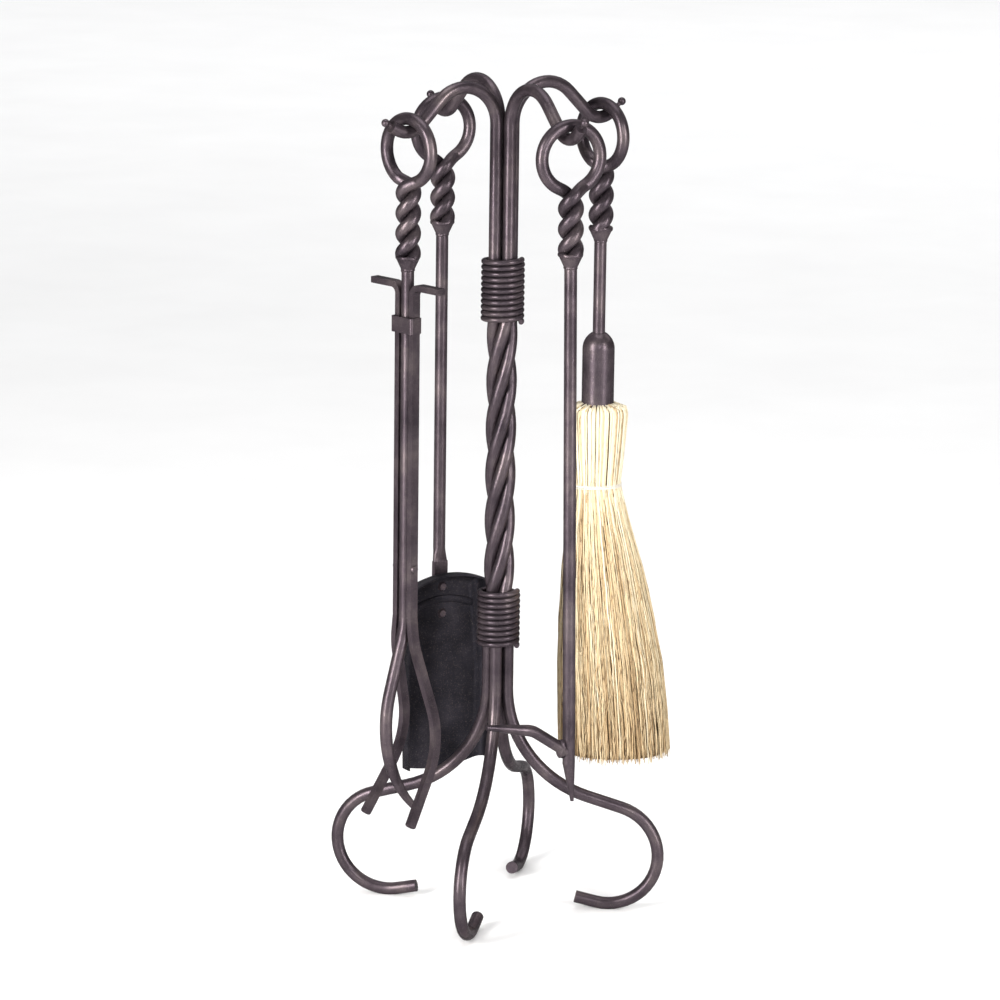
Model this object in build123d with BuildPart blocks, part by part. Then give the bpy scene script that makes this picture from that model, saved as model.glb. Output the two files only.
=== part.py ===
from build123d import *

import os
from math import cos, pi, radians, sin, sqrt

os.makedirs("parts", exist_ok=True)

# A hearth tool set of round steel rod. Four long rods make the whole stand: each one is a
# curled foot, a leg, one strand of a twisted post and a hook. A poker, tongs, a shovel and
# a broom hang by ring handles on the four hooks. Millimetres, +Z up, with the origin on
# the post's axis at floor level. The legs point along +X, +Y, -X and -Y, and the hooks
# point along the diagonals between them.

# ---------------------------------------------------------------- driving dimensions
rod_radius = 6.35            # half inch round stock, used for the stand, shafts and rings
gap = 0.3                    # air between parts of different bodies

# post
bundle_radius = 10.0         # post axis to the centre of each of the four rods
twist_radius = 9.22          # the same inside the twist, where the rods are drawn together
twist_bottom = 306.0
twist_turn = 585.0           # degrees: one and a half turns, plus the 45 from leg to hook
twist_pitch = 192.5
twist_top = twist_bottom + twist_pitch * twist_turn / 360
lead_height = 20.0           # height over which a rod bends from straight into the twist

# hook
neck_top = 816.0
arch_radius = 39.0
valley_radius = 22.0
valley_reach = 114.5         # post axis to the lowest point of a hook
arch_fall = 45.0             # degrees of slope between the arch and the valley
tip_length = 8.5
ball_radius = 4.1
ball_neck_radius = 2.2
ball_stand_off = 8.0         # rod end to ball centre

# Each rod by the place of its hook: the hook's azimuth, how steeply its tip rises, and
# how far its leg is set off the radial direction. The rods are bent by hand, so the last
# two differ a little from rod to rod.
hook_corners = {
    "front_left": (225, 29.0, 5.0),
    "front_right": (315, 48.0, 0.0),
    "back_right": (45, 37.0, 0.0),
    "back_left": (135, 35.0, 0.0),
}

# leg
leg_bend = 117.0
leg_turn = 74.0
curl_radius = 53.0
curl_reach = 116.0           # post axis to the centre of the curl
toe_rise = 12.0
toe_length = 21.5
ground_flat = 0.25           # depth ground off under the curl

# coil collars
wire_radius = 2.8
wire_pitch = 5.8
collar_clearance = 0.15
collar_radius = bundle_radius + rod_radius + wire_radius + collar_clearance
upper_collar_bottom = 612.5
upper_collar_turns = 11
lower_collar_bottom = 275.0
lower_collar_turns = 10

# ring handles
ring_radius = 32.0
ring_leave = 30.0            # degrees before the ring's lowest point where a tail leaves it
strand_radius = 6.5          # twist axis to the centre of each of the two tails
strand_pitch = 40.5
trim = 5.0                   # spare length that is cut off square at the foot of a twist
ferrule_radius = 12.4
ferrule_height = 13.0

# poker, all lengths below the top of its ring
poker_twist_end = 128.0
poker_shaft_end = 649.0
poker_tip = 689.0
poker_tip_radius = 1.8
poker_tip_set = 3.95         # the tip's centre is off the shaft's axis, on the side away from the prong
prong_weld = 638.0
prong_radius = 5.9
prong_climb = 35.0           # degrees
prong_flat = 11.0
prong_run = 44.0
prong_bend = 28.0
prong_taper = 47.0
prong_tip_radius = 2.7
prong_cut = 30.0             # reach of the cuts that shape the prong's root to the shaft

# tongs
tongs_twist_end = 138.0
pin_drop = 454.8
pin_radius = 3.0
pin_clearance = 0.05
pin_head_radius = 4.2
pin_head_height = 1.6
pin_head_taper = 20.0        # degrees
arm_thickness = 6.35
arm_width = 9.5
arm_offset = rod_radius + 0.6 + arm_thickness / 2
wing_drop = 166.5
wing_bend = 9.0
wing_length = 30.0
strap_top = 197.5
strap_height = 16.0
strap_thickness = 1.8
strap_corner = 2.5
strap_stand_off = 7.1
claw_start = 505.0
claw_swing_radius = 80.0
claw_swing_turn = -17.0      # degrees
claw_run = 55.0
claw_grip_radius = 125.0
claw_grip_turn = 35.0        # degrees
claw_point_turn = 31.0       # degrees over which the claw tapers to its point
claw_point_radius = 3.4
arm_splay = 6.4              # degrees
arm_claw_lead = 15.0
arm_swing_radius = 100.0
arm_swing_turn = 15.0        # degrees
arm_claw_run = 58.0
arm_grip_radius = 85.0
arm_grip_turn = -47.0        # degrees
arm_point_run = 58.0
arm_point_round = 2.4

# shovel
shovel_twist_end = 128.0
tab_top = 486.0
tab_end = 556.0
tab_width = 16.0
tab_front = 4.5
tab_thickness = 5.5
tab_corner = 2.0
tab_flare = 14.0             # height over which the round shaft is forged into the tab
blade_top = 496.0
blade_corner = 505.0
blade_corner_width = 86.0
blade_widest = 600.0
blade_width = 106.0
blade_mouth = 701.0
blade_mouth_width = 102.0
blade_bulge = 8.0
blade_depth = 21.0
blade_sheet = 2.0
blade_round = 12.0
rivet_drops = (512.5, 541.5)
rivet_radius = 3.0
rivet_clearance = 0.03
rivet_head_radius = 5.2
rivet_head_height = 2.4
rivet_head_taper = 35.0      # degrees

# broom
broom_twist_end = 128.0
socket_top = 236.0
socket_shoulder = 252.0
socket_end = 311.5
socket_radius = 16.6
socket_wall = 1.6
socket_collar = 1.0          # ledge round the shaft on top of the socket's dome
dome_inset = 3.5
dome_drop = 5.5
rim_height = 4.0
rim_overhang = 0.6
straw_radius = 14.8
straw_top = 254.0
straw_azimuth = 15.0         # direction of the straw head's long side
straw_end = 694.0
shoulder_radii = (15.4, 15.3)
waist_drop = 402.0
waist_height = 5.0
waist_radii = (25.0, 18.5)
cord_thickness = 1.1
cord_gap = 0.05


# ---------------------------------------------------------------- frames
def turned(plane, y_angle=0.0, z_angle=0.0):
    """A plane turned about its own axes, in degrees."""
    return Plane(plane.location * Location((0, 0, 0), (0, y_angle, z_angle)))


def rod_plane(azimuth, set_angle=0.0):
    """Upright plane through one rod of the post: its x runs outwards, its y runs up.

    The set angle turns the plane about the rod, away from the straight radial direction.
    """
    a = radians(azimuth)
    b = radians(azimuth + set_angle)
    foot = (bundle_radius * cos(a), bundle_radius * sin(a), 0)
    return Plane(origin=foot, x_dir=(cos(b), sin(b), 0), z_dir=(sin(b), -cos(b), 0))


arch_end = arch_radius * (1 + sin(radians(arch_fall)))
valley_start = valley_reach - bundle_radius - valley_radius * sin(radians(arch_fall))
hook_slope = (valley_start - arch_end) / cos(radians(arch_fall))
valley_centre = (
    neck_top
    + arch_radius * cos(radians(arch_fall))
    - hook_slope * sin(radians(arch_fall))
    + valley_radius * cos(radians(arch_fall))
)


def tool_frame(azimuth, reach, yaw, lean):
    """Frame of a hanging tool, at the top of its ring's centreline.

    Its x lies in the ring's plane, its y points at the post and its z points up. The ring
    clears the hook by the gap.
    """
    ride = valley_radius - 2 * rod_radius - gap
    drop = sqrt(ride**2 - (reach - valley_reach) ** 2)
    a = radians(azimuth)
    ring_top = (reach * cos(a), reach * sin(a), valley_centre - drop)
    upright = Plane(origin=ring_top, x_dir=(-sin(a), cos(a), 0), z_dir=(0, 0, 1))
    return turned(turned(upright, z_angle=yaw), y_angle=-lean)


poker_frame = tool_frame(315, 119.0, -6, 0.8)
broom_frame = tool_frame(45, 118.0, 7, 0)
shovel_frame = tool_frame(135, 115.5, 0, 0)
tongs_frame = tool_frame(225, 112.5, 11, 0)


def front_plane(frame, y=0.0):
    """Plane of a tool frame's x and z, at a given y, with its normal along -y."""
    plane = Plane(origin=frame.origin, x_dir=frame.x_dir, z_dir=-frame.y_dir)
    return plane.offset(-y)


def side_plane(frame, x=0.0):
    """Plane of a tool frame's y and z, at a given x, with its normal along +x."""
    return Plane(origin=frame.origin, x_dir=frame.y_dir, z_dir=frame.x_dir).offset(x)


def coil_line(plane, pitch, height, radius):
    """Right-handed helix about a plane's normal, which starts on the plane's x axis."""
    return Helix(pitch=pitch, height=height, radius=radius, mode=Mode.PRIVATE).moved(plane.location)


# ---------------------------------------------------------------- stand
def make_stand_rod(name, hook_azimuth, tip_rise, leg_set):
    """One rod of the stand: foot, leg, a strand of the twist, and hook. Returns the hook's line."""
    leg_azimuth = hook_azimuth - twist_turn
    line_turn = 90 - leg_turn
    curl_start = curl_reach - bundle_radius + curl_radius * sin(radians(line_turn))
    leg_run = (curl_start - leg_bend * (1 - cos(radians(leg_turn)))) / cos(radians(line_turn))
    curl_centre = rod_radius - ground_flat + curl_radius
    leg_start = (
        curl_centre
        + curl_radius * cos(radians(line_turn))
        + leg_run * sin(radians(line_turn))
        + leg_bend * sin(radians(leg_turn))
    )
    straight_bottom = twist_bottom - lead_height / 2
    straight_top = twist_top + lead_height / 2
    lead_turn = 180 * lead_height / twist_pitch
    leg_plane = rod_plane(leg_azimuth, leg_set)
    hook_plane = rod_plane(hook_azimuth)
    start = turned(Plane.XY.offset(twist_bottom + lead_height / 2), z_angle=leg_azimuth + lead_turn)
    strand = coil_line(start, twist_pitch, twist_top - twist_bottom - lead_height, twist_radius)
    leg_end = leg_plane.from_local_coords((0, straight_bottom))
    hook_end = hook_plane.from_local_coords((0, straight_top))
    with BuildLine() as leads:
        Spline(leg_end, strand @ 0, tangents=[(0, 0, 1), strand % 0])
        Spline(strand @ 1, hook_end, tangents=[strand % 1, (0, 0, 1)])
    with BuildPart() as rod:
        for edge in (strand.edge(), *leads.edges()):
            with BuildSketch(edge ^ 0):
                Circle(rod_radius)
            sweep(path=edge)
        with BuildLine(leg_plane) as leg:
            top = Line((0, straight_bottom), (0, leg_start))
            sweep_out = JernArc(top @ 1, (0, -1), leg_bend, leg_turn)
            run = Line(sweep_out @ 1, sweep_out @ 1 + (sweep_out % 1) * leg_run)
            curl = JernArc(run @ 1, run % 1, curl_radius, -(180 - line_turn + toe_rise))
            Line(curl @ 1, curl @ 1 + (curl % 1) * toe_length)
        with BuildSketch(leg.line ^ 0):
            Circle(rod_radius)
        sweep()
        with BuildLine(hook_plane) as hook:
            neck = Line((0, straight_top), (0, neck_top))
            arch = JernArc(neck @ 1, (0, 1), arch_radius, -(90 + arch_fall))
            slope = Line(arch @ 1, arch @ 1 + (arch % 1) * hook_slope)
            valley = JernArc(slope @ 1, slope % 1, valley_radius, arch_fall + tip_rise)
            Line(valley @ 1, valley @ 1 + (valley % 1) * tip_length)
        with BuildSketch(hook.line ^ 0):
            Circle(rod_radius)
        sweep()
        split(bisect_by=Plane.XY, keep=Keep.TOP)
    rod.part.label = name
    export_step(rod.part, f"parts/{name}.step")
    return hook.line


def make_finial(name, hook_line):
    base = Plane(hook_line ^ 1)
    with BuildPart() as finial:
        with BuildSketch(base):
            Circle(ball_neck_radius)
        extrude(amount=ball_stand_off)
        with Locations(base.offset(ball_stand_off)):
            Sphere(ball_radius)
    finial.part.label = name
    export_step(finial.part, f"parts/{name}.step")


def make_collar(name, bottom, turns):
    with BuildPart() as collar:
        with BuildLine(Plane.XY.offset(bottom + wire_radius)) as coil:
            Helix(pitch=wire_pitch, height=turns * wire_pitch, radius=collar_radius)
        with BuildSketch(coil.line ^ 0):
            Circle(wire_radius)
        sweep()
    collar.part.label = name
    export_step(collar.part, f"parts/{name}.step")


for corner, (azimuth, tip_rise, leg_set) in hook_corners.items():
    hook_line = make_stand_rod(f"stand_rod_{corner}", azimuth, tip_rise, leg_set)
    make_finial(f"hook_finial_{corner}", hook_line)
make_collar("upper_coil_collar", upper_collar_bottom, upper_collar_turns)
make_collar("lower_coil_collar", lower_collar_bottom, lower_collar_turns)


# ---------------------------------------------------------------- ring handles
def make_handle(name, frame, twist_end):
    """A rod bent into a ring, with its two tails twisted together below it."""
    crossing = ring_radius + ring_radius / cos(radians(ring_leave))
    strand_height = twist_end + trim - crossing
    strand_turn = 360 * strand_height / strand_pitch
    leave = radians(ring_leave)
    edges = []
    for half in (frame, turned(frame, z_angle=180)):
        foot = turned(half.offset(-twist_end - trim), z_angle=-90 - strand_turn)
        edges.append(coil_line(foot, strand_pitch, strand_height, strand_radius))
        with BuildLine() as bow:
            lead = Spline(
                half.from_local_coords((0, -strand_radius, -crossing)),
                half.from_local_coords((ring_radius * sin(leave), 0, -ring_radius * (1 + cos(leave)))),
                tangents=[
                    half.x_dir * strand_radius + half.z_dir * strand_pitch / (2 * pi),
                    half.x_dir * cos(leave) + half.z_dir * sin(leave),
                ],
            )
            ThreePointArc(lead @ 1, half.from_local_coords((ring_radius, 0, -ring_radius)), half.origin)
        edges += bow.edges()
    with BuildPart() as handle:
        for edge in edges:
            with BuildSketch(edge ^ 0):
                Circle(rod_radius)
            sweep(path=edge)
        split(bisect_by=frame.offset(-twist_end), keep=Keep.TOP)
    handle.part.label = name
    export_step(handle.part, f"parts/{name}.step")


def make_ferrule(name, frame, twist_end):
    """The weld cone that gathers the two tails into the shaft."""
    with BuildPart() as ferrule:
        with BuildSketch(frame.offset(-twist_end)):
            Circle(ferrule_radius)
        with BuildSketch(frame.offset(-twist_end - ferrule_height)):
            Circle(rod_radius)
        loft()
    ferrule.part.label = name
    export_step(ferrule.part, f"parts/{name}.step")


tools = {
    "poker": (poker_frame, poker_twist_end),
    "tongs": (tongs_frame, tongs_twist_end),
    "shovel": (shovel_frame, shovel_twist_end),
    "broom": (broom_frame, broom_twist_end),
}
for tool, (frame, twist_end) in tools.items():
    make_handle(f"{tool}_handle", frame, twist_end)
    make_ferrule(f"{tool}_ferrule", frame, twist_end)

# ---------------------------------------------------------------- poker
with BuildPart() as poker_shaft:
    with BuildSketch(poker_frame.offset(-poker_twist_end - ferrule_height)):
        Circle(rod_radius)
    extrude(amount=-(poker_shaft_end - poker_twist_end - ferrule_height))
    with BuildSketch(poker_frame.offset(-poker_shaft_end)):
        Circle(rod_radius)
    with BuildSketch(poker_frame.offset(-poker_tip)):
        with Locations((poker_tip_set, 0)):
            Circle(poker_tip_radius)
    loft()
poker_shaft.part.label = "poker_shaft"
export_step(poker_shaft.part, "parts/poker_shaft.step")

with BuildPart() as poker_prong:
    with BuildLine(front_plane(poker_frame)) as spur:
        climb = radians(prong_climb)
        rise = Line((0, -prong_weld), (-prong_run * cos(climb), -prong_weld + prong_run * sin(climb)))
        JernArc(rise @ 1, rise % 1, prong_bend, prong_climb - prong_flat)
    with BuildSketch(spur.line ^ 0):
        Circle(prong_radius)
    sweep()
    spur_end = Plane(spur.line ^ 1)
    with BuildSketch(spur_end):
        Circle(prong_radius)
    with BuildSketch(spur_end.offset(prong_taper)):
        Circle(prong_tip_radius)
    loft()
    with BuildSketch(poker_frame.offset(-prong_weld - prong_cut)):
        Circle(rod_radius)
    extrude(amount=2 * prong_cut, mode=Mode.SUBTRACT)
    with BuildSketch(side_plane(poker_frame)):
        with Locations((0, -prong_weld)):
            Rectangle(2 * prong_cut, 2 * prong_cut)
    extrude(amount=prong_cut, mode=Mode.SUBTRACT)
poker_prong.part.label = "poker_prong"
export_step(poker_prong.part, "parts/poker_prong.step")

# ---------------------------------------------------------------- tongs
with BuildPart() as tongs_rod:
    with BuildLine(side_plane(tongs_frame)) as centre:
        straight = Line((0, -tongs_twist_end - ferrule_height), (0, -claw_start))
        swing = JernArc(straight @ 1, straight % 1, claw_swing_radius, claw_swing_turn)
        reach = Line(swing @ 1, swing @ 1 + (swing % 1) * claw_run)
        JernArc(reach @ 1, reach % 1, claw_grip_radius, claw_grip_turn)
    with BuildSketch(centre.line ^ 0):
        Circle(rod_radius)
    sweep()
    with BuildLine(side_plane(tongs_frame)) as claw:
        JernArc(centre.line @ 1, centre.line % 1, claw_grip_radius, claw_point_turn)
    with BuildSketch(claw.line ^ 0):
        Circle(rod_radius)
    with BuildSketch(claw.line ^ 1):
        Circle(claw_point_radius)
    sweep(multisection=True)
    with BuildSketch(side_plane(tongs_frame, -rod_radius)):
        with Locations((0, -pin_drop)):
            Circle(pin_radius + pin_clearance)
    extrude(amount=2 * rod_radius, mode=Mode.SUBTRACT)
tongs_rod.part.label = "tongs_centre_rod"
export_step(tongs_rod.part, "parts/tongs_centre_rod.step")


def make_tongs_arm(name, side):
    """One of the two flat bars beside the centre rod, with its finger wing and claw."""
    splay = radians(arm_splay)
    x = side * arm_offset
    wing_end = wing_length + wing_bend
    with BuildPart() as arm:
        with BuildLine(front_plane(tongs_frame)) as bar:
            wing = Line((x + side * wing_end, -wing_drop), (x + side * wing_bend, -wing_drop))
            bend = JernArc(wing @ 1, (-side, 0), wing_bend, side * 90)
            Line(bend @ 1, (x, -claw_start))
        with BuildSketch(Plane(origin=bar.line @ 0, x_dir=tongs_frame.y_dir, z_dir=bar.line % 0)):
            Rectangle(arm_width, arm_thickness)
        sweep()
        elbow = tongs_frame.origin + tongs_frame.x_dir * x - tongs_frame.z_dir * claw_start
        down = tongs_frame.x_dir * (side * sin(splay)) - tongs_frame.z_dir * cos(splay)
        claw_plane = Plane(origin=elbow, x_dir=tongs_frame.y_dir, z_dir=tongs_frame.y_dir.cross(-down))
        with BuildLine(claw_plane) as claw:
            start = Line((0, 0), (0, -arm_claw_lead))
            swing = JernArc(start @ 1, (0, -1), arm_swing_radius, arm_swing_turn)
            reach = Line(swing @ 1, swing @ 1 + (swing % 1) * arm_claw_run)
            grip = JernArc(reach @ 1, reach % 1, arm_grip_radius, arm_grip_turn)
            Line(grip @ 1, grip @ 1 + (grip % 1) * arm_point_run)
        with BuildSketch(Plane(origin=elbow, x_dir=tongs_frame.y_dir, z_dir=down)):
            Rectangle(arm_width, arm_thickness)
        sweep()
        fillet(arm.faces().sort_by(Axis.Z)[0].edges(), radius=arm_point_round)
        with BuildSketch(side_plane(tongs_frame, x - arm_thickness)):
            with Locations((0, -pin_drop)):
                Circle(pin_radius)
        extrude(amount=2 * arm_thickness, mode=Mode.SUBTRACT)
    arm.part.label = name
    export_step(arm.part, f"parts/{name}.step")


make_tongs_arm("tongs_left_arm", -1)
make_tongs_arm("tongs_right_arm", 1)

arm_face = arm_offset + arm_thickness / 2
with BuildPart() as tongs_strap:
    with BuildSketch(tongs_frame.offset(-strap_top)):
        with BuildLine():
            Polyline(
                (-arm_face, arm_width / 2),
                (-arm_face, -strap_stand_off),
                (arm_face, -strap_stand_off),
                (arm_face, arm_width / 2),
                (arm_face + strap_thickness, arm_width / 2),
                (arm_face + strap_thickness, -strap_stand_off - strap_thickness),
                (-arm_face - strap_thickness, -strap_stand_off - strap_thickness),
                (-arm_face - strap_thickness, arm_width / 2),
                close=True,
            )
        make_face()
    extrude(amount=-strap_height)
    corners = tongs_strap.edges().filter_by(Axis.Z).group_by(Axis((0, 0, 0), tuple(tongs_frame.y_dir)))[0]
    fillet(corners, radius=strap_corner)
tongs_strap.part.label = "tongs_strap"
export_step(tongs_strap.part, "parts/tongs_strap.step")

with BuildPart() as tongs_pin:
    with BuildSketch(side_plane(tongs_frame, -arm_face)):
        with Locations((0, -pin_drop)):
            Circle(pin_radius)
    extrude(amount=2 * arm_face)
    for face, outward in ((arm_face, 1), (-arm_face, -1)):
        with BuildSketch(side_plane(tongs_frame, face)):
            with Locations((0, -pin_drop)):
                Circle(pin_head_radius)
        extrude(amount=outward * pin_head_height, taper=pin_head_taper)
tongs_pin.part.label = "tongs_pin"
export_step(tongs_pin.part, "parts/tongs_pin.step")

# ---------------------------------------------------------------- shovel
with BuildPart() as shovel_shaft:
    with BuildSketch(shovel_frame.offset(-shovel_twist_end - ferrule_height)):
        Circle(rod_radius)
    extrude(amount=-(tab_top - tab_flare - shovel_twist_end - ferrule_height))
    with BuildSketch(shovel_frame.offset(-tab_top + tab_flare)):
        Circle(rod_radius)
    with BuildSketch(shovel_frame.offset(-tab_top)):
        with Locations((0, tab_front - tab_thickness / 2)):
            RectangleRounded(tab_width, tab_thickness, tab_corner)
    loft()
    with BuildSketch(front_plane(shovel_frame, tab_front)):
        with Locations((0, -(tab_top + tab_end) / 2)):
            Rectangle(tab_width, tab_end - tab_top)
    extrude(amount=tab_thickness)
    with BuildSketch(front_plane(shovel_frame, tab_front)):
        with Locations(*[(0, -drop) for drop in rivet_drops]):
            Circle(rivet_radius + rivet_clearance)
    extrude(amount=tab_thickness, mode=Mode.SUBTRACT)
shovel_shaft.part.label = "shovel_shaft"
export_step(shovel_shaft.part, "parts/shovel_shaft.step")

with BuildPart() as shovel_blade:
    with BuildSketch(front_plane(shovel_frame, tab_front)):
        with BuildLine():
            corner_x = blade_corner_width / 2
            ThreePointArc((-corner_x, -blade_corner), (0, -blade_top), (corner_x, -blade_corner))
            for side in (-1, 1):
                Polyline(
                    (side * blade_corner_width / 2, -blade_corner),
                    (side * blade_width / 2, -blade_widest),
                    (side * blade_mouth_width / 2, -blade_mouth),
                )
            ThreePointArc(
                (-blade_mouth_width / 2, -blade_mouth),
                (0, -blade_mouth - blade_bulge),
                (blade_mouth_width / 2, -blade_mouth),
            )
        make_face()
    extrude(amount=-blade_depth)
    inward = Axis((0, 0, 0), tuple(shovel_frame.y_dir))
    back = shovel_blade.faces().sort_by(inward)[0]
    rounded = back.edges().sort_by(Axis.Z)[1:]
    fillet(rounded, radius=blade_round)
    open_side = shovel_blade.faces().sort_by(inward)[-1]
    mouth = shovel_blade.faces().sort_by(Axis.Z)[0]
    offset(amount=-blade_sheet, openings=[open_side, mouth])
    with BuildSketch(front_plane(shovel_frame, tab_front)):
        with Locations(*[(0, -drop) for drop in rivet_drops]):
            Circle(rivet_radius + rivet_clearance)
    extrude(amount=-blade_sheet, mode=Mode.SUBTRACT)
shovel_blade.part.label = "shovel_blade"
export_step(shovel_blade.part, "parts/shovel_blade.step")

for name, drop in zip(("shovel_upper_rivet", "shovel_lower_rivet"), rivet_drops):
    with BuildPart() as rivet:
        with BuildSketch(front_plane(shovel_frame, tab_front - tab_thickness)):
            with Locations((0, -drop)):
                Circle(rivet_radius)
        extrude(amount=-(tab_thickness + blade_sheet))
        with BuildSketch(front_plane(shovel_frame, tab_front + blade_sheet)):
            with Locations((0, -drop)):
                Circle(rivet_head_radius)
        extrude(amount=-rivet_head_height, taper=rivet_head_taper)
    rivet.part.label = name
    export_step(rivet.part, f"parts/{name}.step")

# ---------------------------------------------------------------- broom
with BuildPart() as broom_shaft:
    with BuildSketch(broom_frame.offset(-broom_twist_end - ferrule_height)):
        Circle(rod_radius)
    extrude(amount=-(socket_top - broom_twist_end - ferrule_height))
broom_shaft.part.label = "broom_shaft"
export_step(broom_shaft.part, "parts/broom_shaft.step")

with BuildPart() as broom_socket:
    with BuildSketch(front_plane(broom_frame)):
        with BuildLine():
            wall_end = socket_radius - socket_wall
            top = Line((0, -socket_top), (rod_radius + socket_collar, -socket_top))
            dome_middle = (socket_radius - dome_inset, -socket_top - dome_drop)
            dome = ThreePointArc(top @ 1, dome_middle, (socket_radius, -socket_shoulder))
            side = Line(dome @ 1, (socket_radius, -socket_end))
            lip = Line(side @ 1, (wall_end, -socket_end))
            bore = Line(lip @ 1, (wall_end, -socket_shoulder))
            roof = Line(bore @ 1, (0, -socket_shoulder))
            Line(roof @ 1, top @ 0)
        make_face()
    revolve(axis=Axis(broom_frame.origin, broom_frame.z_dir))
broom_socket.part.label = "broom_socket"
export_step(broom_socket.part, "parts/broom_socket.step")

head_azimuth = radians(straw_azimuth)
long_side = (cos(head_azimuth), sin(head_azimuth), 0)
head_frame = Plane(origin=broom_frame.origin, x_dir=long_side, z_dir=(0, 0, 1))

with BuildPart() as broom_rim:
    with BuildSketch(head_frame.offset(-socket_end)):
        Circle(socket_radius + rim_overhang)
        Circle(straw_radius, mode=Mode.SUBTRACT)
    extrude(amount=-rim_height)
broom_rim.part.label = "broom_rim"
export_step(broom_rim.part, "parts/broom_rim.step")

# drop, half width, half depth and sideways set of the straw head's sections
straw_sections = (
    (socket_end + rim_height, *shoulder_radii, 0.0),
    (322.0, 31.0, 23.0, 0.0),
    (350.0, 30.0, 22.0, 0.0),
    (waist_drop - waist_height / 2, *waist_radii, 0.0),
)
straw_skirt = (
    (waist_drop + waist_height / 2, *waist_radii, 0.0),
    (490.0, 42.0, 28.0, 8.0),
    (590.0, 54.0, 35.0, 18.0),
    (straw_end, 57.0, 38.0, 25.0),
)
with BuildPart() as broom_straw:
    with BuildSketch(head_frame.offset(-straw_top)):
        Circle(straw_radius)
    extrude(amount=-(socket_end + rim_height - straw_top))
    for drop, half_width, half_depth, shift in straw_sections:
        with BuildSketch(head_frame.offset(-drop)):
            with Locations((shift, 0)):
                Ellipse(half_width, half_depth)
    loft(ruled=True)
    with BuildSketch(head_frame.offset(-waist_drop + waist_height / 2)):
        Ellipse(*waist_radii)
    extrude(amount=-waist_height)
    for drop, half_width, half_depth, shift in straw_skirt:
        with BuildSketch(head_frame.offset(-drop)):
            with Locations((shift, 0)):
                Ellipse(half_width, half_depth)
    loft(ruled=True)
broom_straw.part.label = "broom_straw"
export_step(broom_straw.part, "parts/broom_straw.step")

with BuildPart() as broom_binding:
    with BuildSketch(head_frame.offset(-waist_drop + waist_height / 2)):
        Ellipse(waist_radii[0] + cord_thickness, waist_radii[1] + cord_thickness)
        Ellipse(waist_radii[0] + cord_gap, waist_radii[1] + cord_gap, mode=Mode.SUBTRACT)
    extrude(amount=-waist_height)
broom_binding.part.label = "broom_binding"
export_step(broom_binding.part, "parts/broom_binding.step")
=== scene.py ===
import math
from collections import namedtuple

import bpy
import numpy as np
from mathutils import Matrix, Vector, noise


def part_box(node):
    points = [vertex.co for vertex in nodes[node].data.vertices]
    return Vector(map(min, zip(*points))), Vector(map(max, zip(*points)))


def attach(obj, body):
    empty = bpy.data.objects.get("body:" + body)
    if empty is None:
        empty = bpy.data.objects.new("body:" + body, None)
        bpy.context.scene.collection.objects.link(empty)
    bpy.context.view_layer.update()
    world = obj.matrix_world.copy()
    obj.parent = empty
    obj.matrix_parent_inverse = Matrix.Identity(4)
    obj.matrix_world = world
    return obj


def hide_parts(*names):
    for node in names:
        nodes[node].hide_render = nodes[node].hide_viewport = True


# Metres throughout, in the frame's own axes: +Z is up, and the front looks towards -Y.
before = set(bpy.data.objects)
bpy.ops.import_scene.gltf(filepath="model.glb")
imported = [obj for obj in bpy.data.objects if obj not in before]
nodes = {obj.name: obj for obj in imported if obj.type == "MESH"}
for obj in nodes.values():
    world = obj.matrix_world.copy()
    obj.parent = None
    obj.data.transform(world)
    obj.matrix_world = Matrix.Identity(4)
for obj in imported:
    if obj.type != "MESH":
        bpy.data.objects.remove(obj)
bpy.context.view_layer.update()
rng = np.random.default_rng(7)

FULL_TURN = 2 * math.pi
UP = np.array([0.0, 0.0, 1.0])

# ---------------------------------------------------------------- camera
AZIMUTH = math.radians(12.0312)
DISTANCE = 4.33792
HEIGHT = 1.43694
PITCH = math.radians(13.0697)
ROLL = math.radians(0.7526)
LENS = 157.45
SENSOR_WIDTH = 36.0

level = Vector((-math.sin(AZIMUTH), math.cos(AZIMUTH), 0))
forward = level * math.cos(PITCH) + Vector((0, 0, -math.sin(PITCH)))
side = forward.cross(Vector((0, 0, 1))).normalized()
rise = side.cross(forward)
right = side * math.cos(ROLL) + rise * math.sin(ROLL)
up = rise * math.cos(ROLL) - side * math.sin(ROLL)
camera = bpy.data.objects.new("camera", bpy.data.cameras.new("camera"))
camera.data.lens = LENS
camera.data.sensor_width = SENSOR_WIDTH
camera_place = Matrix.Translation(-level * DISTANCE + Vector((0, 0, HEIGHT)))
camera.matrix_world = camera_place @ Matrix((right, up, -forward)).transposed().to_4x4()
bpy.context.scene.collection.objects.link(camera)
bpy.context.scene.camera = camera

# ---------------------------------------------------------------- materials
NOISE_ROUGHNESS = 0.6
BLACK = (0.0, 0.0, 0.0)
WHITE = (1.0, 1.0, 1.0)


def new_material(name):
    material = bpy.data.materials.new(name)
    material.use_nodes = True
    tree = material.node_tree
    return material, tree, tree.nodes["Principled BSDF"]


def add_noise(tree, scale, detail, stretch=(1, 1, 1)):
    """Noise over the object's own coordinates, about scale waves per metre."""
    coords = tree.nodes.new("ShaderNodeTexCoord")
    mapping = tree.nodes.new("ShaderNodeMapping")
    mapping.inputs["Scale"].default_value = stretch
    texture = tree.nodes.new("ShaderNodeTexNoise")
    texture.inputs["Scale"].default_value = scale
    texture.inputs["Detail"].default_value = detail
    texture.inputs["Roughness"].default_value = NOISE_ROUGHNESS
    tree.links.new(coords.outputs["Object"], mapping.inputs["Vector"])
    tree.links.new(mapping.outputs["Vector"], texture.inputs["Vector"])
    return texture.outputs["Fac"]


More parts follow.
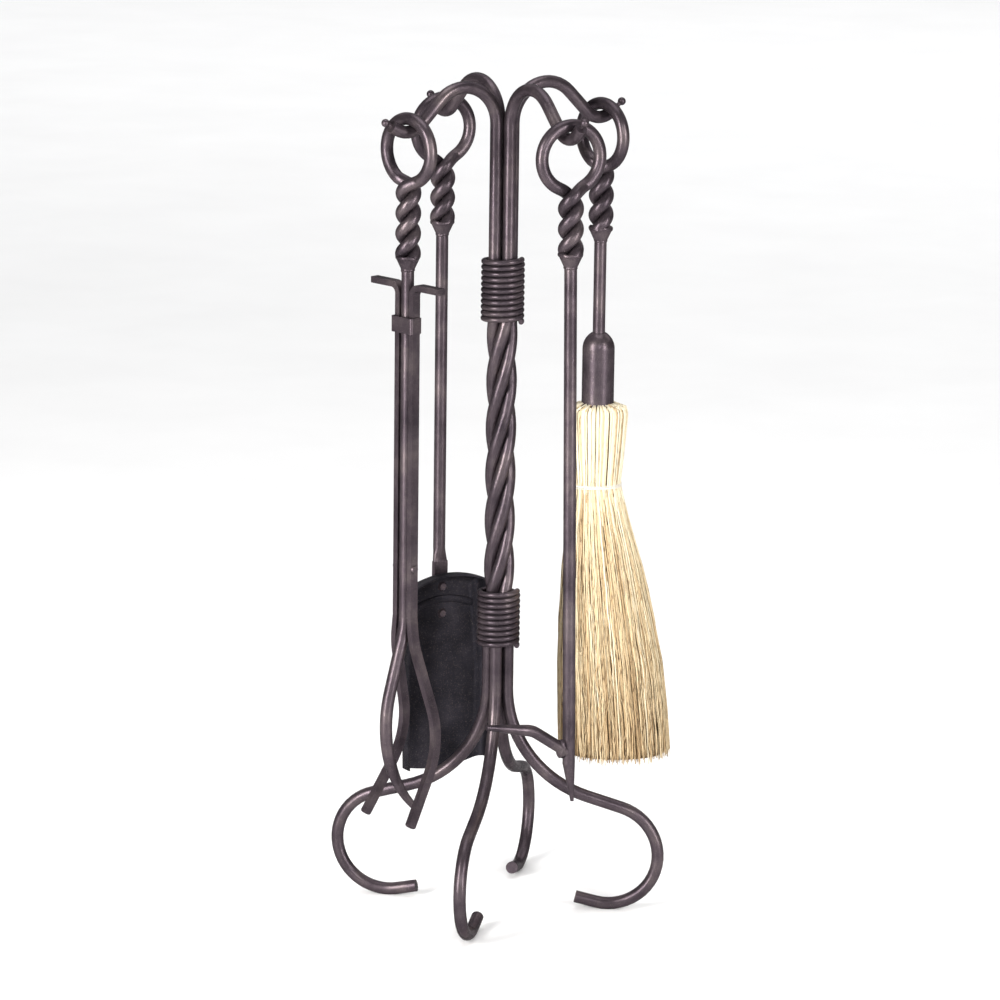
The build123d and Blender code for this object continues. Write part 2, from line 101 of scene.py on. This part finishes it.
def rgba(value):
    """An opaque colour from three parts, or a grey from one number."""
    return (*value, 1) if isinstance(value, tuple) else (value, value, value, 1)


def add_ramp(tree, factor, stops):
    ramp = tree.nodes.new("ShaderNodeValToRGB")
    elements = ramp.color_ramp.elements
    for element, (position, value) in zip([elements[0], elements[1]], (stops[0], stops[-1])):
        element.position = position
        element.color = rgba(value)
    for position, value in stops[1:-1]:
        elements.new(position).color = rgba(value)
    tree.links.new(factor, ramp.inputs["Fac"])
    return ramp.outputs["Color"]


def add_mix(tree, blend, factor, a, b):
    """Mix two colours. factor is a number or the output of a node."""
    mix = tree.nodes.new("ShaderNodeMix")
    mix.data_type = "RGBA"
    mix.blend_type = blend
    if isinstance(factor, float):
        mix.inputs["Factor"].default_value = factor
    else:
        tree.links.new(factor, mix.inputs["Factor"])
    tree.links.new(a, mix.inputs["A"])
    tree.links.new(b, mix.inputs["B"])
    return mix.outputs["Result"]


def add_bump(tree, height, strength, distance, normal=None):
    bump = tree.nodes.new("ShaderNodeBump")
    bump.inputs["Strength"].default_value = strength
    bump.inputs["Distance"].default_value = distance
    tree.links.new(height, bump.inputs["Height"])
    if normal is not None:
        tree.links.new(normal, bump.inputs["Normal"])
    return bump.outputs["Normal"]


def powder_coat(name, dark, middle, light, rough_low, rough_high):
    """Powder coat over forged steel: cloudy colour, lighter specks of wear and painted glint,
    fine orange peel.
    """
    material, tree, shader = new_material(name)
    cloud_noise = add_noise(tree, scale=26.0, detail=5.0)
    clouds = add_ramp(tree, cloud_noise, [(0.3, dark), (0.52, middle), (0.74, light)])
    # warm lighter specks: partly wear on the coat, partly painted glints of light
    wear_and_glint_noise = add_noise(tree, scale=900.0, detail=2.0)
    wear_and_glint_specks = add_ramp(tree, wear_and_glint_noise, [(0.58, BLACK), (0.72, (0.22, 0.18, 0.15))])
    tree.links.new(add_mix(tree, "SCREEN", 0.22, clouds, wear_and_glint_specks), shader.inputs["Base Color"])
    gloss_noise = add_noise(tree, scale=60.0, detail=4.0)
    gloss = add_ramp(tree, gloss_noise, [(0.35, rough_low), (0.7, rough_high)])
    tree.links.new(gloss, shader.inputs["Roughness"])
    forged_noise = add_noise(tree, scale=70.0, detail=2.0)
    forged = add_bump(tree, forged_noise, strength=0.35, distance=0.0012)
    peel_noise = add_noise(tree, scale=850.0, detail=2.0)
    peel = add_bump(tree, peel_noise, strength=0.22, distance=0.0003, normal=forged)
    tree.links.new(peel, shader.inputs["Normal"])
    # mostly metallic, with a dark tint that keeps the rims of the rods dark on a white ground
    shader.inputs["Metallic"].default_value = 0.7
    shader.inputs["Specular IOR Level"].default_value = 0.30
    shader.inputs["Specular Tint"].default_value = (0.22, 0.19, 0.21, 1.0)
    return material


bronze = powder_coat(
    "bronze_powder_coat",
    dark=(0.033, 0.026, 0.032),
    middle=(0.062, 0.049, 0.057),
    light=(0.112, 0.091, 0.093),
    rough_low=0.30,
    rough_high=0.42,
)
blade_coat = powder_coat(
    "blade_powder_coat",
    dark=(0.010, 0.010, 0.013),
    middle=(0.018, 0.017, 0.022),
    light=(0.032, 0.029, 0.036),
    rough_low=0.40,
    rough_high=0.55,
)


def fibre_material(name, stops, dash, rough, scale, stretch):
    """Straw or thread: each strand has its own tone, with streaks along it."""
    material, tree, shader = new_material(name)
    tone = tree.nodes.new("ShaderNodeAttribute")
    tone.attribute_name = "tone"
    base = add_ramp(tree, tone.outputs["Fac"], stops)
    dash_noise = add_noise(tree, scale, 4.0, stretch)
    dashes = add_ramp(tree, dash_noise, [(0.37, dash), (0.45, WHITE)])
    # the dashes show most on the duller strands: the random dull ones, and the deep layers whose
    # darker tone is painted shade, where they add to that painted shade
    depth = add_ramp(tree, tone.outputs["Fac"], [(0.35, 0.95), (0.9, 0.25)])
    tree.links.new(add_mix(tree, "MULTIPLY", depth, base, dashes), shader.inputs["Base Color"])
    skin_noise = add_noise(tree, scale * 2, 3.0, stretch)
    skin = add_bump(tree, skin_noise, strength=0.4, distance=0.0004)
    tree.links.new(skin, shader.inputs["Normal"])
    shader.inputs["Roughness"].default_value = rough
    shader.inputs["Specular IOR Level"].default_value = 0.25
    return material


straw_look = fibre_material(
    "broomcorn",
    stops=[
        (0.0, (0.060, 0.034, 0.014)),
        (0.2, (0.24, 0.150, 0.070)),
        (0.5, (0.45, 0.320, 0.175)),
        (0.75, (0.56, 0.455, 0.290)),
        (1.0, (0.66, 0.60, 0.45)),
    ],
    dash=(0.13, 0.075, 0.04),
    rough=0.62,
    scale=640.0,
    stretch=(1, 1, 0.15),
)
thread_look = fibre_material(
    "binding_thread",
    stops=[(0.0, (0.36, 0.33, 0.28)), (1.0, (0.66, 0.63, 0.56))],
    dash=(0.7, 0.66, 0.6),
    rough=0.8,
    scale=1400.0,
    stretch=(1, 1, 1),
)

NODE_LOOKS = {
    "shovel_blade": blade_coat,
    "broom_rim": thread_look,
    "broom_binding": thread_look,
    "broom_straw": straw_look,
}
for name, node in nodes.items():
    for slot in node.material_slots:
        slot.material = NODE_LOOKS.get(name, bronze)

# ---------------------------------------------------------------- mesh making
SHORTEST = 1e-12  # stands in for the length of a vector that has none


def make_piece(name, verts, faces, material, body, tones=None):
    mesh = bpy.data.meshes.new(name)
    mesh.from_pydata([tuple(v) for v in verts], [], [tuple(f) for f in faces])
    mesh.materials.append(material)
    mesh.polygons.foreach_set("use_smooth", [True] * len(mesh.polygons))
    if tones is not None:
        attribute = mesh.attributes.new("tone", "FLOAT", "POINT")
        attribute.data.foreach_set("value", np.asarray(tones, np.float32))
    mesh.update()
    piece = bpy.data.objects.new(name, mesh)
    bpy.context.scene.collection.objects.link(piece)
    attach(piece, body)
    return piece


def unit(v):
    return v / np.maximum(np.linalg.norm(v, axis=-1, keepdims=True), SHORTEST)


def plan_middle(low, high):
    """The middle of a node's box as seen from above, at height 0."""
    return np.array([(low.x + high.x) / 2, (low.y + high.y) / 2, 0.0])


def ring_quads(here, ahead):
    """Faces between matching rings of point numbers, each ring closed on itself."""
    corners = (here, ahead, np.roll(ahead, -1, -1), np.roll(here, -1, -1))
    return np.stack(corners, axis=-1).reshape(-1, 4).tolist()


def capped_faces(rings, sides):
    """Faces of one closed tube whose points are numbered ring by ring."""
    index = np.arange(rings * sides).reshape(rings, sides)
    return ring_quads(index[:-1], index[1:]) + [list(index[0]), list(index[-1, ::-1])]


def strand_mesh(centres, radii, across, sides, flat=1.0):
    """Tubes along many lines at once.

    centres is (strands, rings, 3), radii is (strands, rings), and across is (strands, 3): a
    direction that stays beside each line. flat scales the tubes' other direction.
    """
    count, rings, _ = centres.shape
    along = unit(np.gradient(centres, axis=1))
    beside = np.broadcast_to(across[:, None, :], centres.shape)
    out = unit(np.cross(along, beside))
    beside = np.cross(out, along)
    angles = np.arange(sides) * 2 * math.pi / sides
    verts = (
        centres[:, :, None, :]
        + beside[:, :, None, :] * (radii[:, :, None] * np.cos(angles))[..., None]
        + out[:, :, None, :] * (radii[:, :, None] * np.sin(angles) * flat)[..., None]
    )
    index = np.arange(count * rings * sides).reshape(count, rings, sides)
    here = index[:, :-1]
    below = index[:, 1:]
    corners = (here, np.roll(here, -1, 2), np.roll(below, -1, 2), below)
    quads = np.stack(corners, axis=-1).reshape(-1, 4)
    caps = [list(row) for row in index[:, 0, ::-1]] + [list(row) for row in index[:, -1]]
    return verts.reshape(-1, 3), quads.tolist() + caps


# ---------------------------------------------------------------- broom head
HEAD_ORIGIN = plan_middle(*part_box("broom_socket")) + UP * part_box("broom_handle")[1].z
HEAD_AZIMUTH = math.radians(15.0)
LONG = np.array([math.cos(HEAD_AZIMUTH), math.sin(HEAD_AZIMUTH), 0.0])
SHORT = np.array([-math.sin(HEAD_AZIMUTH), math.cos(HEAD_AZIMUTH), 0.0])
# the drop below the top of the ring handle, half width, half depth and sideways shift
SECTIONS = np.array(
    [
        (0.3140, 0.0140, 0.0140, 0.0),
        (0.3155, 0.0175, 0.0170, 0.0),
        (0.3175, 0.0262, 0.0212, 0.0),
        (0.3205, 0.0300, 0.0226, 0.0),
        (0.3270, 0.0312, 0.0230, 0.0),
        (0.3700, 0.0280, 0.0208, 0.0),
        (0.4020, 0.0248, 0.0183, 0.0),
        (0.4400, 0.0322, 0.0225, 0.0030),
        (0.4900, 0.0420, 0.0280, 0.0080),
        (0.5400, 0.0485, 0.0320, 0.0130),
        (0.5900, 0.0540, 0.0350, 0.0180),
        (0.6400, 0.0560, 0.0368, 0.0218),
        (0.6940, 0.0570, 0.0380, 0.0250),
    ]
)
WAIST = 0.4020
CORE_TOP, CORE_END = 0.3150, 0.6880
CORE_RINGS, CORE_SIDES = 60, 72
CORE_SHARE = 0.9
# the core's near-black tone is painted shade for the inside of the head
CORE_SHADE_TONE = 0.05


def head_points(drops, angles, share):
    """Points of the straw head at these drops and angles, share of the way to its outside."""
    width = np.interp(drops, SECTIONS[:, 0], SECTIONS[:, 1]) * share
    depth = np.interp(drops, SECTIONS[:, 0], SECTIONS[:, 2]) * share
    shift = np.interp(drops, SECTIONS[:, 0], SECTIONS[:, 3])
    sideways = (shift + width * np.cos(angles))[..., None] * LONG
    inward = (depth * np.sin(angles))[..., None] * SHORT
    return sideways + inward + HEAD_ORIGIN - drops[..., None] * UP


def across_of(angles):
    return unit(-np.sin(angles)[:, None] * LONG + np.cos(angles)[:, None] * SHORT)


straw_verts, straw_faces, straw_tones = [], [], []


def add_straw(verts, faces, tones):
    offset = sum(len(v) for v in straw_verts)
    straw_verts.append(verts)
    straw_faces.extend([[i + offset for i in face] for face in faces])
    straw_tones.append(tones)


# dark core, seen between the stalks: a sheet of painted shade for the shaded inside of the head
core_drops = np.linspace(CORE_TOP, CORE_END, CORE_RINGS)
core_angles = np.linspace(0, FULL_TURN, CORE_SIDES, endpoint=False)
core = head_points(*np.meshgrid(core_drops, core_angles, indexing="ij"), CORE_SHARE)
add_straw(
    core.reshape(-1, 3),
    capped_faces(CORE_RINGS, CORE_SIDES),
    np.full(CORE_RINGS * CORE_SIDES, CORE_SHADE_TONE),
)

# One layer of stalks. start and end are the ranges of drops they run between, share is the
# range of their place on the way out, and radius and tone go from a stalk's top to its end.
Layer = namedtuple("Layer", "count start end radius share tone sway rings sides")
# Each layer deeper in the head has a darker tone than the one outside it: painted shade.
LAYERS = (
    # folded stems over the shoulder, down to the thread
    Layer(
        92, (0.3140, 0.3180), (0.408, 0.430), radius=(0.00125, 0.00100),
        share=(0.97, 1.01), tone=(0.96, 0.88), sway=0.006, rings=30, sides=6,
    ),
    Layer(
        100, (0.3160, 0.3200), (0.420, 0.450), radius=(0.00110, 0.00090),
        share=(0.92, 0.97), tone=(0.80, 0.74), sway=0.008, rings=30, sides=5,
    ),
    # stems below the thread
    Layer(
        130, (0.395, 0.400), (0.500, 0.620), radius=(0.00085, 0.00055),
        share=(0.97, 1.01), tone=(0.93, 0.66), sway=0.010, rings=24, sides=5,
    ),
    Layer(
        110, (0.395, 0.400), (0.500, 0.600), radius=(0.00090, 0.00060),
        share=(0.91, 0.96), tone=(0.72, 0.52), sway=0.012, rings=24, sides=5,
    ),
    # the brush, three layers deep, each deeper layer darker as painted shade
    Layer(
        330, (0.410, 0.540), (0.676, 0.6942), radius=(0.00062, 0.00055),
        share=(0.96, 1.01), tone=(0.78, 0.60), sway=0.012, rings=34, sides=5,
    ),
    Layer(
        300, (0.420, 0.540), (0.670, 0.6930), radius=(0.00066, 0.00060),
        share=(0.91, 0.96), tone=(0.58, 0.46), sway=0.014, rings=30, sides=4,
    ),
    Layer(
        260, (0.500, 0.600), (0.676, 0.6930), radius=(0.00070, 0.00060),
        share=(0.84, 0.91), tone=(0.36, 0.34), sway=0.014, rings=22, sides=4,
    ),
    # fine loose hairs over it
    Layer(
        240, (0.520, 0.620), (0.660, 0.6950), radius=(0.00032, 0.00026),
        share=(0.97, 1.025), tone=(0.70, 0.55), sway=0.030, rings=22, sides=4,
    ),
    # the cut ends under it
    Layer(
        900, (0.640, 0.660), (0.684, 0.6945), radius=(0.00070, 0.00060),
        share=(0.10, 0.95), tone=(0.42, 0.50), sway=0.012, rings=6, sides=4,
    ),
)
ANGLE_JITTER = 0.6  # of the gap between neighbours
RING_CROWDING = 0.85  # below 1 draws the rings towards the end of the stalk
WAVE_LENGTHS = (0.035, 0.09)
FAN = 1.3  # how far the ends fan out, in sways
SPREAD_JITTER = 0.035
SPREAD_LIMITS = (0.1, 1.035)
TONE_JITTER = 0.12
DULL_SHARE = 0.13
DULL_DROP = 0.35
GIRTHS = (0.7, 1.3)
TIP_TOP, TIP_END = 0.6, 0.5  # what is left of the radius at a stalk's two ends
STALK_FLATNESS = 0.7


def add_stalks(layer):
    count = layer.count
    jitter = rng.uniform(-ANGLE_JITTER, ANGLE_JITTER, count)
    angles = (np.arange(count) + jitter) * 2 * math.pi / count
    share = rng.uniform(*layer.share, count)
    first = rng.uniform(*layer.start, count)[:, None]
    length = rng.uniform(*layer.end, count)[:, None] - first
    t = np.linspace(0, 1, layer.rings)[None, :] ** RING_CROWDING
    drops = first + length * t
    beat = length / rng.uniform(*WAVE_LENGTHS, (count, 1))
    swing = rng.normal(0, layer.sway, (count, 1))
    wave = swing * np.sin(FULL_TURN * (t * beat + rng.random((count, 1))))
    fan = rng.normal(0, layer.sway * FAN, (count, 1)) * t**2
    spread = share[:, None] + rng.normal(0, SPREAD_JITTER, (count, 1)) * t**2
    lines = head_points(drops, angles[:, None] + wave + fan, np.clip(spread, *SPREAD_LIMITS))
    tone_top, tone_end = layer.tone
    base = rng.normal(0, TONE_JITTER, (count, 1))
    dull = rng.random((count, 1)) < DULL_SHARE
    tones = np.clip(tone_top + (tone_end - tone_top) * t + base - dull * DULL_DROP, 0.0, 1.0)
    radius_top, radius_end = layer.radius
    radii = (radius_top + (radius_end - radius_top) * t) * rng.uniform(*GIRTHS, (count, 1))
    radii[:, 0] *= TIP_TOP
    radii[:, -1] *= TIP_END
    verts, faces = strand_mesh(lines, radii, across_of(angles), layer.sides, STALK_FLATNESS)
    add_straw(verts, faces, np.repeat(tones.reshape(-1), layer.sides))


for layer in LAYERS:
    add_stalks(layer)

straw_piece = make_piece(
    "broom_straw_head",
    np.concatenate(straw_verts),
    straw_faces,
    straw_look,
    "broom",
    np.concatenate(straw_tones),
)
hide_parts("broom_straw")

# thread wound round the waist
THREAD_TURNS = 4
THREAD_RINGS = 420
THREAD_SIDES = 8
THREAD_RADIUS = 0.00055
THREAD_SHARE = 1.045  # just outside the stalks
THREAD_RISE = 0.0016  # half the height of the winding
THREAD_STRIPES = 60  # light and dark bands of tone, per turn

turn = np.linspace(0, FULL_TURN * THREAD_TURNS, THREAD_RINGS)
thread_rise = (
    np.linspace(-THREAD_RISE, THREAD_RISE, THREAD_RINGS)
    + 0.00035 * np.sin(turn * 1.37)
    + 0.0002 * np.sin(turn * 3.1)
)
thread_line = head_points(np.full(THREAD_RINGS, WAIST), turn, THREAD_SHARE)
thread_line = thread_line + thread_rise[:, None] * UP
thread_verts, thread_faces = strand_mesh(
    thread_line[None], np.full((1, THREAD_RINGS), THREAD_RADIUS), UP[None], THREAD_SIDES
)
stripes = np.sin(np.repeat(turn, THREAD_SIDES) * THREAD_STRIPES)
thread_piece = make_piece(
    "broom_binding_thread",
    thread_verts,
    thread_faces,
    thread_look,
    "broom",
    np.clip(0.7 + 0.3 * stripes, 0, 1),
)
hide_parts("broom_binding")

# ---------------------------------------------------------------- welds
BEAD_AROUND, BEAD_ACROSS = 96, 14
LUMP_ROWS, LUMP_COLUMNS = 26, 40
LUMP_POLE = 0.02  # radians between a lump's pole and its first ring, which a cap closes
LUMP_SCALE = 2.3
LUMP_ROUGH = 0.16
NOISE_REACH = 50


def lumpy(count, low, high, amount):
    """A closed random wave round a turn, of beats low to high, for a weld's unevenness."""
    turn = np.linspace(0, FULL_TURN, count, endpoint=False)
    wave = np.zeros(count)
    for beat in range(low, high):
        ripple = np.sin(beat * turn + rng.uniform(0, FULL_TURN))
        wave += math.sqrt(low / beat) * ripple * rng.uniform(0.5, 1.0)
    return 1 + amount * wave


def weld_ring(name, centre, radius, thickness, height, body):
    """An uneven bead of weld laid round an upright rod."""
    turn = np.linspace(0, FULL_TURN, BEAD_AROUND, endpoint=False)[:, None]
    roll = np.linspace(0, FULL_TURN, BEAD_ACROSS, endpoint=False)[None, :]
    size = lumpy(BEAD_AROUND, 3, 14, 0.09)[:, None]
    bent = radius * lumpy(BEAD_AROUND, 2, 5, 0.012)[:, None]
    reach = bent + thickness * size * np.cos(roll)
    drift = (lumpy(BEAD_AROUND, 2, 6, 0.5)[:, None] - 1) * height * 0.5
    level = height * size * np.sin(roll) + drift
    verts = np.stack((reach * np.cos(turn), reach * np.sin(turn), level), axis=-1)
    verts = verts + np.array(centre)
    index = np.arange(BEAD_AROUND * BEAD_ACROSS).reshape(BEAD_AROUND, BEAD_ACROSS)
    faces = ring_quads(index, np.roll(index, -1, 0))
    return make_piece(name, verts.reshape(-1, 3), faces, bronze, body)


def weld_lump(name, centre, axes, body):
    """A blob of weld with an uneven skin. axes are its three half lengths as vectors."""
    tilt = np.linspace(LUMP_POLE, math.pi - LUMP_POLE, LUMP_ROWS)[:, None]
    turn = np.linspace(0, FULL_TURN, LUMP_COLUMNS, endpoint=False)[None, :]
    upright = np.cos(tilt) * np.ones_like(turn)
    ball = np.stack((np.sin(tilt) * np.cos(turn), np.sin(tilt) * np.sin(turn), upright), axis=-1)
    seed = Vector(rng.uniform(0, NOISE_REACH, 3))
    skin = np.array([[noise.noise(Vector(p) * LUMP_SCALE + seed) for p in row] for row in ball])
    verts = (ball * (1 + LUMP_ROUGH * skin[..., None])) @ np.array(axes) + np.array(centre)
    faces = capped_faces(LUMP_ROWS, LUMP_COLUMNS)
    return make_piece(name, verts.reshape(-1, 3), faces, bronze, body)


for tool in ("poker", "tongs", "shovel", "broom"):
    low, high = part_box(f"{tool}_ferrule")
    middle_x, middle_y, _ = plan_middle(low, high)
    weld_ring(
        f"{tool}_twist_weld",
        centre=(middle_x, middle_y, high.z),
        radius=0.0112,
        thickness=0.0014,
        height=0.0020,
        body=tool,
    )
    weld_ring(
        f"{tool}_shaft_weld",
        centre=(middle_x, middle_y, low.z + 0.0004),
        radius=0.0060,
        thickness=0.0010,
        height=0.0016,
        body=tool,
    )

shaft_middle = plan_middle(*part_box("poker_shaft"))
prong_low, prong_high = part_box("poker_prong")
prong_way = unit(plan_middle(prong_low, prong_high) - shaft_middle)
prong_side = np.cross(UP, prong_way)
weld_lump(
    "poker_prong_weld",
    centre=shaft_middle + prong_way * 0.0052 + UP * (prong_low.z + 0.0085),
    axes=(prong_way * 0.0058, prong_side * 0.0066, UP * 0.0098),
    body="poker",
)

# ---------------------------------------------------------------- pressed step of the pan
SHOVEL_ACROSS = np.array([-math.sqrt(0.5), -math.sqrt(0.5), 0.0])
SHOVEL_FRONT = np.array([math.sqrt(0.5), -math.sqrt(0.5), 0.0])
STEP_HALF = 0.0405
STEP_DROP = 0.0135  # below the upper rivet, in the middle
STEP_SAG = 0.0105  # how much lower its ends are
STEP_SET = 0.00245  # from the rivet's middle to the face of the pan
STEP_SIZE = 0.0012
STEP_FLATNESS = 3.4
STEP_TAPER, STEP_TIP = 8, 0.15
STEP_RINGS, STEP_SIDES = 60, 16

rivet_low, rivet_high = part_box("shovel_upper_rivet")
rivet_middle = (np.array(rivet_low) + np.array(rivet_high)) / 2
step_x = np.linspace(-STEP_HALF, STEP_HALF, STEP_RINGS)
step_drop = STEP_DROP + STEP_SAG * (step_x / STEP_HALF) ** 2
step_line = rivet_middle + SHOVEL_FRONT * STEP_SET + step_x[:, None] * SHOVEL_ACROSS
step_line = step_line - step_drop[:, None] * UP
step_size = STEP_SIZE * np.clip((1 - np.abs(step_x / STEP_HALF)) * STEP_TAPER, STEP_TIP, 1)
step_verts, step_faces = strand_mesh(
    step_line[None], step_size[None], SHOVEL_FRONT[None], STEP_SIDES, STEP_FLATNESS
)
make_piece("shovel_pan_step", step_verts, step_faces, blade_coat, "shovel")

# ---------------------------------------------------------------- stage and light
FLOOR_REACH = 30
PANEL_TARGET = (0, 0, 0.5)
MIDDLE = (0, 0, 0.42)


def make_floor():
    mesh = bpy.data.meshes.new("floor")
    corners = [(-1, -1), (1, -1), (1, 1), (-1, 1)]
    points = [(x * FLOOR_REACH, y * FLOOR_REACH, 0) for x, y in corners]
    mesh.from_pydata(points, [], [(0, 1, 2, 3)])
    floor = bpy.data.objects.new("floor", mesh)
    material, tree, shader = new_material("pale_floor")
    clouds = add_noise(tree, scale=3.0, detail=3.0)
    tone = add_ramp(tree, clouds, [(0.3, 0.86), (0.7, 0.89)])
    tree.links.new(tone, shader.inputs["Base Color"])
    shader.inputs["Roughness"].default_value = 0.9
    shader.inputs["Specular IOR Level"].default_value = 0.1
    mesh.materials.append(material)
    bpy.context.scene.collection.objects.link(floor)


def add_light(name, place, target, size, power, colour=WHITE):
    """A rectangular panel of light at place, turned towards target."""
    light = bpy.data.lights.new(name, "AREA")
    light.shape = "RECTANGLE"
    light.size, light.size_y = size
    light.energy = power
    light.color = colour
    lamp = bpy.data.objects.new(name, light)
    lamp.location = place
    lamp.rotation_mode = "QUATERNION"
    lamp.rotation_quaternion = (Vector(target) - Vector(place)).to_track_quat("-Z", "Y")
    bpy.context.scene.collection.objects.link(lamp)


make_floor()
add_light("left_panel", (-1.55, -2.55, 1.15), PANEL_TARGET, (0.6, 2.2), 165, (1.0, 0.985, 0.965))
add_light("right_panel", (2.75, -1.75, 1.15), PANEL_TARGET, (0.5, 2.2), 105, (1.0, 0.985, 0.97))
add_light("front", (1.5, -4.4, 2.0), MIDDLE, (1.3, 1.3), 70)
add_light("overhead", (0.0, 0.2, 3.4), MIDDLE, (2.0, 2.0), 52)
# over the floor behind the object, so that the ground stays white up to the top of the frame
add_light("backdrop", (0.0, 7.0, 5.0), (0.0, 7.0, 0.0), (14.0, 8.0), 640)

world = bpy.data.worlds.new("studio")
world.use_nodes = True
background = world.node_tree.nodes["Background"]
background.inputs["Color"].default_value = (0.95, 0.96, 1.0, 1)
background.inputs["Strength"].default_value = 0.12
bpy.context.scene.world = world
bpy.context.scene.view_settings.view_transform = "Standard"
